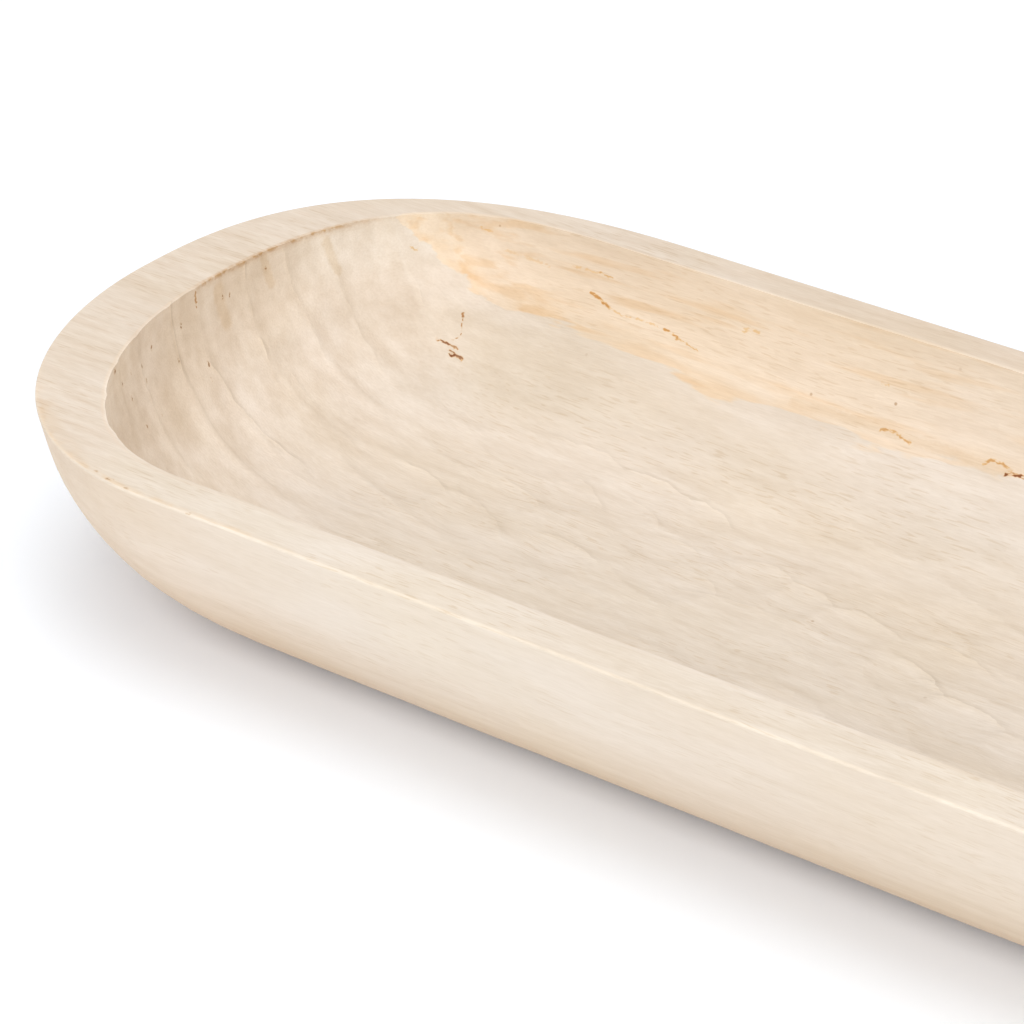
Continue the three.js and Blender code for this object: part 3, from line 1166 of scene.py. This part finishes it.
# painted highlight and painted shade of every bold edge and end wall flute, added up
def paintedRidgeTone(tree, place):
    group = makePaintedRidgeGroup()
    total = 0.0
    faint, run = paintedRidgeLight["depthFrom"], paintedRidgeLight["depthRun"]
    edges = [(*bold[:4], (bold[4] - faint) / run) for bold in floorScoops["bold"]]
    farWidth = floorScoops["boldWidth"]
    back = (0, paintedRidgeLight["level"] ** (1 / paintedRidgeLight["steepness"]))
    for edge in edges + paintedRidgeLight["endWall"]:
        middle, halfLength, turn = boldPlace(edge, back)
        total = useGroup(
            tree, group, Place=place, Middle=(*middle, 0.0), Strength=edge[4], Before=total,
            Lengthwise=(math.cos(turn) / halfLength, math.sin(turn) / halfLength, 0.0),
            Crosswise=(-math.sin(turn) / farWidth, math.cos(turn) / farWidth, 0.0),
        )
    return total


# a mark lies on its face, so the place counts little along the way that the face looks
def flatOnFace(tree, place, face):
    if face == "floor":
        return place
    facing = Vector(markFacing[face]).normalized()
    depth = vectorNode(tree, "DOT_PRODUCT", place, facing, out=1)
    back = scaled(tree, facing * -markRule["flatten"], depth)
    return vectorNode(tree, "ADD", place, back)


skinTree = BVHTree.FromObject(platter, bpy.context.evaluated_depsgraph_get())


# where the camera sees a pixel of the photograph on the skin
def seenPlace(pixel):
    scale = camera["sensor"] / camera["lens"] / camera["photoWidth"]
    right, down = ((value - camera["photoWidth"] / 2) * scale for value in pixel)
    way = Vector((right, -down, -1.0))
    way.rotate(cameraTurn())
    return skinTree.ray_cast(Vector(camera["place"]), way)[0]


def flatPoint(pixel, face):
    facing = Vector(markFacing[face]).normalized()
    point = seenPlace(pixel)
    return point if face == "floor" else point - facing * markRule["flatten"] * point.dot(facing)


def markReach(halfWidth):
    return halfWidth * mm * markRule["fullTo"], halfWidth * mm * markRule["goneAt"]


def lineMarks(tree, group, places, kind):
    total = 0.0
    for markKind, face, halfWidth, strength, pixels in marks:
        if markKind != kind:
            continue
        fullTo, goneAt = markReach(halfWidth)
        for first, second in zip(pixels, pixels[1:]):
            start = flatPoint(first, face)
            span = flatPoint(second, face) - start
            total = useGroup(
                tree, group, Place=places[face], From=start, Span=span,
                ShareWay=span / span.length_squared, FullTo=fullTo, GoneAt=goneAt,
                Strength=strength, Before=total,
            )
    return total


def dotMarks(tree, places):
    total = 0.0
    for face, stretch in speckStretch.items():
        place = vectorNode(tree, "MULTIPLY", places[face], stretch)
        for dotFace, halfWidth, strength, pixel in specks:
            if dotFace != face:
                continue
            centre = flatPoint(pixel, face) * Vector(stretch)
            distance = vectorNode(tree, "DISTANCE", place, centre, out=1)
            dot = rangeNode(tree, distance, *markReach(halfWidth), strength, 0.0)
            total = mathNode(tree, "MAXIMUM", dot, total)
    return total


def woodPlaces(tree):
    straight = addNode(tree, "ShaderNodeTexCoord").outputs["Object"]
    x, y, z = splitVector(tree, straight)
    # the grain wanders a little across its own direction
    bendPlace = vectorNode(tree, "MULTIPLY", straight, sapwood["wanderStretch"])
    bent = shakenPlace(tree, bendPlace, 1.0, 1.0, sapwood["wander"], straight)
    lean = mathNode(tree, "MULTIPLY_ADD", z, faceRanges["facetLean"], x)
    return {"straight": straight, "bent": bent, "x": x, "y": y, "z": z, "under": z, "lean": lean}


def woodFaces(tree, places):
    x, y, z = places["x"], places["y"], places["z"]
    inside = attributeValue(tree, "inside")
    onTop = rangeNode(tree, z, *(blockHeight + shift for shift in sapwood["topFrom"]))
    onTop = multiply(tree, onTop, minus(tree, 1.0, inside))
    outside = minus(tree, 1.0, mathNode(tree, "MAXIMUM", inside, onTop))
    rimEnd = rangeNode(tree, x, *faceRanges["rimEnd"])
    farOrEnd = mathNode(tree, "MAXIMUM", rimEnd, rangeNode(tree, y, *faceRanges["rimFar"]))
    wallEnd = rangeNode(tree, x, *faceTonesAndPaintedLight["endWall"]["x"])
    farOrEndWall = mathNode(tree, "MAXIMUM", wallEnd, rangeNode(tree, y, *faceRanges["wallFar"]))
    return {
        "inside": inside,
        "onTop": onTop,
        "outside": outside,
        "farOrEnd": multiply(tree, onTop, farOrEnd),
        "farOrEndWall": multiply(tree, inside, farOrEndWall),
        "crossed": multiply(tree, inside, rangeNode(tree, x, *sapwood["crossedAt"])),
    }


def addGrain(tree, places, faces):
    calm = lessBy(tree, faces["outside"], sapwood["outsideCalm"])
    farCalm = multiply(tree, faces["inside"], rangeNode(tree, places["y"], *sapwood["farCalmAt"]))
    fineCalm = multiply(tree, calm, lessBy(tree, farCalm, sapwood["farCalm"]))
    colour = sapwood["colour"]
    fields = []
    for number, layer in enumerate(sapwood["layers"]):
        shift = number * sapwood["layerShift"]
        fields.append(grainNoise(tree, places["bent"], layer["stretch"], shift=shift))
        share = rangeNode(tree, fields[-1], *layer["range"], smooth=False)
        if number > 1:
            share = multiply(tree, share, calm if number == 2 else fineCalm)
        colour = shaded(tree, colour, share, layer["shade"])
    pores = noiseShare(tree, places, sapwood["pores"])
    crowd = noiseShare(tree, places, sapwood["poreCrowds"], sapwood["fewestPores"], 1.0)
    crossedCalm = lessBy(tree, faces["crossed"], sapwood["crossedCalm"])
    pores = multiply(tree, pores, crossedCalm, crowd, fineCalm)
    return shaded(tree, colour, pores, sapwood["poreShade"]), fields


def addSpecks(tree, colour, places, faces):
    inputs = {"Vector": places["straight"], "Scale": sapwood["speckSpread"]}
    cells = wireNode(tree, "ShaderNodeTexVoronoi", inputs)
    pick = splitVector(tree, cells["Color"])
    near = rangeNode(tree, cells["Distance"], *sapwood["speckSize"])
    picked = mathNode(tree, "GREATER_THAN", pick[0], sapwood["speckRarity"])
    share = multiply(tree, near, picked, pick[1], faces["inside"])
    return shaded(tree, colour, share, sapwood["speckShade"])


# painted highlight and painted shade: crisp edges for the boldest cuts and faint ones for the rest
def addPaintedRidgeLight(tree, colour, places, faces):
    rule = paintedRidgeLight
    inputs = {0: attributeValue(tree, "cutAlong"), 1: attributeValue(tree, "cutAcross")}
    carvePlace = wireNode(tree, "ShaderNodeCombineXYZ", inputs)[0]
    shake = rule["shakeScale"], rule["shakeDetail"], rule["shake"]
    edgePlace = shakenPlace(tree, places["straight"], *shake, carvePlace)
    noisePlace, *noise = rule["comeNoise"]
    come = grainNoise(tree, places[noisePlace], *noise)
    flutes = noiseShare(tree, places, rule["fluteNoise"], rule["fluteCalm"], 0.0)
    flutes = minus(tree, 1.0, multiply(tree, faces["crossed"], flutes))
    bold = rangeNode(tree, come, *rule["come"], rule["boldLeast"], 1.0)
    bold = multiply(tree, bold, faces["inside"], flutes)
    tone = multiply(tree, paintedRidgeTone(tree, edgePlace), bold)
    for sign, shade in ((1.0, rule["paintedHighlight"]), (-1.0, rule["paintedShade"])):
        colour = shaded(tree, colour, mathNode(tree, "MULTIPLY", tone, sign, clamp=True), shade)
    weak = rangeNode(tree, come, *rule["come"], rule["weakLeast"], 1.0)
    weak = multiply(tree, weak, faces["inside"], lessBy(tree, faces["crossed"], rule["weakCalm"]))
    side = attributeValue(tree, "basinSide")
    for name in ("weakBright", "weakDark"):
        share = multiply(tree, rangeNode(tree, side, *rule[name + "At"]), weak)
        colour = shaded(tree, colour, share, rule[name])
    return colour


def addFaceTonesAndPaintedLight(tree, colour, places, faces):
    colour = shaded(tree, colour, faces["inside"], sapwood["hollowPaintedShade"])
    for name, rule in faceTonesAndPaintedLight.items():
        share = faces[rule["on"]]
        for axis in ("x", "y", "z", "under", "lean"):
            if axis in rule:
                share = multiply(tree, share, rangeNode(tree, places[axis], *rule[axis]))
        if "noise" in rule:
            share = multiply(tree, share, noiseShare(tree, places, rule["noise"]))
        faces[name] = share
        colour = shaded(tree, colour, share, rule["shade"])
    return colour


def addHeartwood(tree, colour, places, faces):
    rule = heartwood
    x, y, z = places["x"], places["y"], places["z"]
    edgeRise = mathNode(tree, "DIVIDE", minus(tree, rule["start"], x), rule["startRun"])
    edgeRise = mathNode(tree, "EXPONENT", edgeRise)
    edge = mathNode(tree, "MULTIPLY_ADD", edgeRise, rule["rise"], rule["level"])
    dip = multiply(tree, rangeNode(tree, x, *rule["dipFrom"]), rangeNode(tree, x, *rule["dipTo"]))
    above = mathNode(tree, "MULTIPLY_ADD", dip, rule["dip"], minus(tree, z, edge))
    noisePlace, *noise = rule["ragged"]
    ragged = minus(tree, grainNoise(tree, places[noisePlace], *noise), 0.5)
    above = mathNode(tree, "MULTIPLY_ADD", ragged, rule["raggedness"], above)
    heart = multiply(
        tree, rangeNode(tree, above, *rule["edgeSoft"]), faces["inside"],
        rangeNode(tree, y, *rule["farFrom"]), rangeNode(tree, x, *rule["fade"]),
        rangeNode(tree, x, *rule["pale"], 1.0, rule["paleShare"]),
    )
    colour = shaded(tree, colour, heart, rule["shade"])
    nearEdge = multiply(tree, heart, rangeNode(tree, above, *rule["nearEdge"]))
    nearEdge = multiply(tree, nearEdge, noiseShare(tree, places, rule["edgeNoise"]))
    colour = shaded(tree, colour, nearEdge, rule["edgeShade"])
    streaks = multiply(tree, heart, noiseShare(tree, places, rule["streaks"]))
    return shaded(tree, colour, streaks, rule["streakShade"])


# knot, veins, stains and specks, each along a slightly shaken line
def addMarks(tree, colour, places):
    rule = markRule
    group = makeMarkGroup()
    reach = (rule["shake"],) * 3
    straight = places["straight"]
    shaken = shakenPlace(tree, straight, rule["shakeScale"], 0.0, reach, straight)
    broken = noiseShare(tree, places, rule["broken"], rule["leastBroken"], 1.0)
    facePlaces = {face: flatOnFace(tree, shaken, face) for face in markFacing}
    for kind, (halo, core) in markShades.items():
        if kind == "speck":
            mark = dotMarks(tree, facePlaces)
        else:
            mark = lineMarks(tree, group, facePlaces, kind)
        if kind != "stain":
            mark = multiply(tree, mark, broken)
        colour = shaded(tree, colour, rangeNode(tree, mark, *rule["haloFrom"]), halo)
        colour = shaded(tree, colour, rangeNode(tree, mark, *rule["coreFrom"]), core)
    return colour


def addEdgeWearAndHighlight(tree, colour, places, faces):
    rule = edgeWearAndHighlight
    tornNoise = noiseShare(tree, places, rule["tornNoise"], rule["leastTorn"], 1.0)
    torn = multiply(tree, attributeValue(tree, "torn"), tornNoise)
    colour = shaded(tree, colour, torn, rule["tornShade"])
    rubbed = attributeValue(tree, "rubbed")
    broad = rangeNode(tree, places["x"], *rule["broadX"], 0.0, rule["broadShare"])
    line = rangeNode(tree, rubbed, *rule["rubbedLine"])
    rubbed = multiply(
        tree, mathNode(tree, "MAXIMUM", line, multiply(tree, rubbed, broad)),
        rangeNode(tree, places["x"], *rule["rubbedX"]),
        rangeNode(tree, places["y"], *rule["rubbedY"]), faces["onTop"],
        noiseShare(tree, places, rule["rubbedNoise"], rule["leastRubbed"], 1.0),
    )
    colour = shaded(tree, colour, rubbed, rule["rubbedShade"])
    # the outer arris paler: worn wood and a painted highlight
    worn = noiseShare(tree, places, rule["wornNoise"])
    worn = multiply(tree, attributeValue(tree, "worn"), worn)
    return shaded(tree, colour, worn, rule["wornShade"])


def makeWood():
    material = bpy.data.materials.new("bleachedWood")
    material.use_nodes = True
    tree = material.node_tree
    shader = tree.nodes["Principled BSDF"]
    places = woodPlaces(tree)
    faces = woodFaces(tree, places)
    colour, fields = addGrain(tree, places, faces)
    colour = addSpecks(tree, colour, places, faces)
    colour = addPaintedRidgeLight(tree, colour, places, faces)
    colour = addFaceTonesAndPaintedLight(tree, colour, places, faces)
    colour = addHeartwood(tree, colour, places, faces)
    colour = addMarks(tree, colour, places)
    colour = addEdgeWearAndHighlight(tree, colour, places, faces)
    coarse, fine = fields[2:]
    relief = {"Distance": sapwood["grainDepth"], "Height": mathNode(tree, "ADD", fine, coarse)}
    looks = {
        "Base Color": colour,
        "Roughness": rangeNode(
            tree, coarse, *sapwood["reliefRange"], *sapwood["roughness"], smooth=False
        ),
        "Normal": wireNode(tree, "ShaderNodeBump", {"Strength": 1.0, **relief})["Normal"],
    }
    for name, value in looks.items():
        feed(tree, shader.inputs[name], value)
    return material


bleachedWood = makeWood()
print("wood made")

carvingTree = makeCarvingTree()
basinCloud = cutCloud("basinCuts", basinCuts())
hullCloud = cutCloud("hullCuts", hullCuts())
for name, cloud in (("basin", basinCloud), ("hull", hullCloud)):
    addCarving(platter, carvingTree, name + "Carving", **{
        "Cuts": cloud, "Where": name, "Side name": name + "Side", "Wood": bleachedWood,
        **carvings[name],
    })
applyCarvings(platter)
print("carved with", len(basinCloud.data.vertices), "and", len(hullCloud.data.vertices), "cuts")
bpy.data.objects.remove(basinCloud)
bpy.data.objects.remove(hullCloud)


# stage and light

stage = {
    "floorSize": 12.0,
    "floorColour": (0.932, 0.966, 1.000),
    "floorGlow": (0.0, 0.010, 0.034),
    "worldLevel": 0.500,
}


def makeStage():
    mesh = bpy.data.meshes.new("floor")
    half = stage["floorSize"] / 2
    corners = [(-half, -half, 0), (half, -half, 0), (half, half, 0), (-half, half, 0)]
    mesh.from_pydata(corners, [], [(0, 1, 2, 3)])
    floor = bpy.data.objects.new("floor", mesh)
    scene.collection.objects.link(floor)
    material = bpy.data.materials.new("whiteFloor")
    material.use_nodes = True
    tree = material.node_tree
    tree.nodes.clear()
    diffuse = wireNode(tree, "ShaderNodeBsdfDiffuse", {"Color": (*stage["floorColour"], 1)})
    seen = addNode(tree, "ShaderNodeLightPath").outputs["Is Camera Ray"]
    glow = {"Color": (*stage["floorGlow"], 1), "Strength": seen}
    glow = wireNode(tree, "ShaderNodeEmission", glow)
    both = wireNode(tree, "ShaderNodeAddShader", {0: diffuse[0], 1: glow[0]})
    wireNode(tree, "ShaderNodeOutputMaterial", {"Surface": both[0]})
    mesh.materials.append(material)
    return floor


def makeWorld():
    world = bpy.data.worlds.new("studio")
    scene.world = world
    world.use_nodes = True
    tree = world.node_tree
    tree.nodes.clear()
    seen = addNode(tree, "ShaderNodeLightPath").outputs
    rays = mathNode(tree, "MAXIMUM", seen["Is Glossy Ray"], seen["Is Transmission Ray"])
    rays = mathNode(tree, "MAXIMUM", seen["Is Camera Ray"], rays)
    level = rangeNode(tree, rays, 0, 1, stage["worldLevel"], 1.0, smooth=False)
    background = {"Color": (1, 1, 1, 1), "Strength": level}
    background = wireNode(tree, "ShaderNodeBackground", background)
    wireNode(tree, "ShaderNodeOutputWorld", {"Surface": background[0]})


softboxes = {
    "distance": 4.5,
    "size": 3.0,
    # degrees round from the front, degrees up, power in watts
    "lamps": {"overhead": (0, 90, 73.0), "front": (0, 40, 99.0), "right": (90, 25, 51.0)},
}


def makeLamps():
    for name, (turn, up, power) in softboxes["lamps"].items():
        data = bpy.data.lights.new(name, "AREA")
        data.shape = "SQUARE"
        data.size = softboxes["size"]
        data.energy = power
        lamp = bpy.data.objects.new(name, data)
        scene.collection.objects.link(lamp)
        turn, up = math.radians(turn), math.radians(up)
        level = math.cos(up)
        away = Vector((math.sin(turn) * level, -math.cos(turn) * level, math.sin(up)))
        lamp.location = away * softboxes["distance"]
        lamp.rotation_euler = (-away).to_track_quat("-Z", "Y").to_euler()


floorPlane = makeStage()
makeWorld()
makeLamps()
scene.view_settings.view_transform = "Standard"
print("stage and lamps set")


# hand over

platter.data.polygons.foreach_set("use_smooth", np.ones(len(platter.data.polygons), bool))
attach(platter, "root")
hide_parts("carved_platter")
